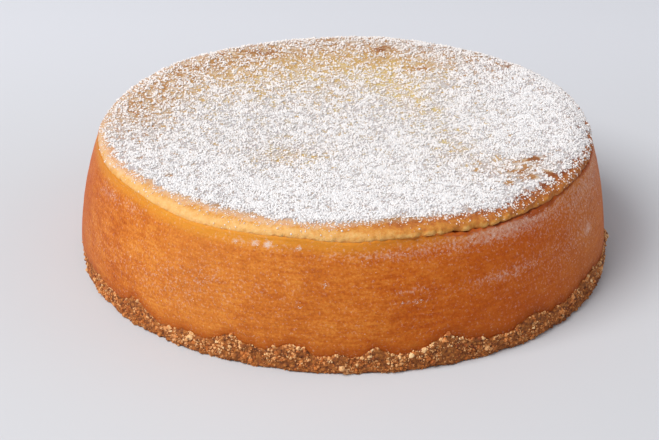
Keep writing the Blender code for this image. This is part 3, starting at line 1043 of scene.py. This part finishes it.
for number, (name, count, smallest, largest, flat, lift) in enumerate(SUGAR):
    rng = np.random.default_rng(81 + number)
    radius, angle = sieved(count, rng)
    count = len(radius)
    place = crust(radius, angle)
    along = crust(radius, angle + NEARBY_TURN) - place
    across = place - crust(radius + NEARBY, angle)
    frames = flat_turn(along, across, rng)

    # Flecks that strayed past the sugar's edge are smaller, sunk and warmer, and those at the
    # back are a bit larger. Single ones stand a little proud, and those where the sugar lies
    # thick lie in it and are whiter.
    size = smallest + (largest - smallest) * rng.uniform(0, 1, count) ** 1.5
    x, y = spot(radius, angle)
    stray = smooth((past_sugar(x, y) + 0.0030) / 0.0040)
    size *= 1 - 0.32 * stray + 0.10 * smooth(y / 0.06)
    sizes = size[:, None] * np.array([1.0, 0.85, flat]) * rng.uniform(0.8, 1.25, (count, 3))
    thick = smooth((sugar_share(x, y) - 0.4) / 0.6)[:, None]
    proud = (0.2 - 0.2 * thick - 0.25 * stray[:, None]) * sizes[:, 2:]
    place = place + frames[:, 2] * (lift * rng.uniform(0, 1, (count, 1)) + proud)
    tone = 0.3 + 0.35 * rng.uniform(0, 1, count) + 0.35 * thick[:, 0] - 0.3 * stray
    flecks = strewn(name, 0, place, sizes, frames, tone, 0.25, rng)
    flecks.data.materials.append(iced)
    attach(flecks, "root")

rng = np.random.default_rng(91)
height, angle = drifted(SIDE_SPECKS, rng)
out = wall(height, angle)
out_above = wall(height + NEARBY, angle)
place = np.stack([*spot(out, angle), height], axis=-1)
above = np.stack([*spot(out_above, angle), height + NEARBY], axis=-1)
round_it = np.stack([np.cos(angle), np.sin(angle), 0 * angle], axis=-1)
size = rng.uniform(0.00018, 0.00040, (len(out), 1))
sizes = size * np.array([1.0, 0.9, 0.5]) * rng.uniform(0.8, 1.25, (len(out), 3))
frames = flat_turn(round_it, above - place, rng)
tone = rng.uniform(0, 1, len(out))
side_specks = strewn("sugar_on_side", 0, place, sizes, frames, tone, 0.25, rng)
side_specks.data.materials.append(iced)
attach(side_specks, "root")


# ---------------------------------------------------------------------------------------
# The studio: a pale table that curves up all round into a backdrop, one big soft lamp from
# the upper left, a weak one from the right, and a plain grey-white room.

TABLE_RADIUS = 2.6  # where it begins to turn up
TABLE_CURVE = 1.2  # radius of the turn
TABLE_SPAN = 8.0  # the square that its flat layout covers


def bowl_skin():
    """A flat disc that turns up in a quarter circle, as rings from its edge inwards."""
    angle = all_round(96)
    turn = np.linspace(0, math.pi / 2, 13)
    flat = np.array([1.0, 2.2])
    out = np.concatenate([flat, TABLE_RADIUS + TABLE_CURVE * np.sin(turn)])
    rise = np.concatenate([0 * flat, TABLE_CURVE - TABLE_CURVE * np.cos(turn)])
    return out[::-1, None] + 0 * angle, angle, rise[::-1, None] + 0 * angle


def table():
    """The bowl as a mesh, whose last ring shrinks to a point in its middle."""
    points, index, after, quads = net(*bowl_skin())
    middle = np.full(index.shape[1], index.size)
    last = np.stack([index[-1], after[-1], middle], axis=-1)
    points = np.concatenate([points, [[0, 0, 0]]])
    spread = points[np.concatenate([quads.ravel(), last.ravel()])][:, :2]
    return piece("table", points, (quads, last), spread / TABLE_SPAN + 0.5)


floor = table()

# Matt grey-white card, with a painted shade: darker near the cake than at the back.
card, shader = finish("matt_card")
place = add(card, "ShaderNodeTexCoord", {}).outputs["Object"]
depth = add(card, "ShaderNodeSeparateXYZ", {"Vector": place}).outputs["Y"]
depth = add(
    card, "ShaderNodeMapRange", {"Value": depth, "From Min": 0.02, "From Max": 0.30},
    interpolation_type="SMOOTHSTEP",
)
card_painted_shade_colour = add(
    card, "ShaderNodeMixRGB", {"Fac": depth, "Color1": "#cecfd2", "Color2": "#dadbe0"}
)
add(card, shader, {"Base Color": card_painted_shade_colour, "Roughness": 0.9})
floor.data.materials.append(card)

LAMPS = (  # name, degrees round the cake and above the table, distance, width and watts
    ("key", -58, 50, 2.6, 1.5, 67),
    ("fill", 100, 35, 2.4, 1.4, 5.0),
)
for name, at_angle, rise, away, across, watts in LAMPS:
    lamp = bpy.data.lights.new(name, "AREA")
    lamp.size = across
    lamp.energy = watts
    holder = bpy.data.objects.new(name, lamp)
    bpy.context.scene.collection.objects.link(holder)
    turn = Matrix.Rotation(math.radians(at_angle), 4, "Z")
    tilt = Matrix.Rotation(math.radians(90 - rise), 4, "X")
    holder.matrix_world = turn @ tilt @ Matrix.Translation((0, 0, away))

room = bpy.data.worlds.new("room")
room.use_nodes = True
glow = room.node_tree.nodes["Background"].inputs
glow["Color"].default_value = linear("#e6e8ee")
glow["Strength"].default_value = 0.46
bpy.context.scene.world = room
bpy.context.scene.view_settings.view_transform = "Standard"

# The camera looks down on the cake by 27 degrees from two thirds of a metre away.
CAMERA_PLACE = (-0.00595, -0.57477, 0.30004)
LOOKS_DOWN = 27.062  # degrees
LEANS = 0.384  # degrees, about the line of sight
FOCAL_LENGTH = 78.0  # mm

lens = bpy.data.cameras.new("camera")
lens.lens = FOCAL_LENGTH
camera = bpy.data.objects.new("camera", lens)
bpy.context.scene.collection.objects.link(camera)
look = Matrix.Rotation(math.radians(90 - LOOKS_DOWN), 4, "X")
level = Matrix.Rotation(math.radians(LEANS), 4, "Z")
camera.matrix_world = Matrix.Translation(CAMERA_PLACE) @ look @ level
bpy.context.scene.camera = camera
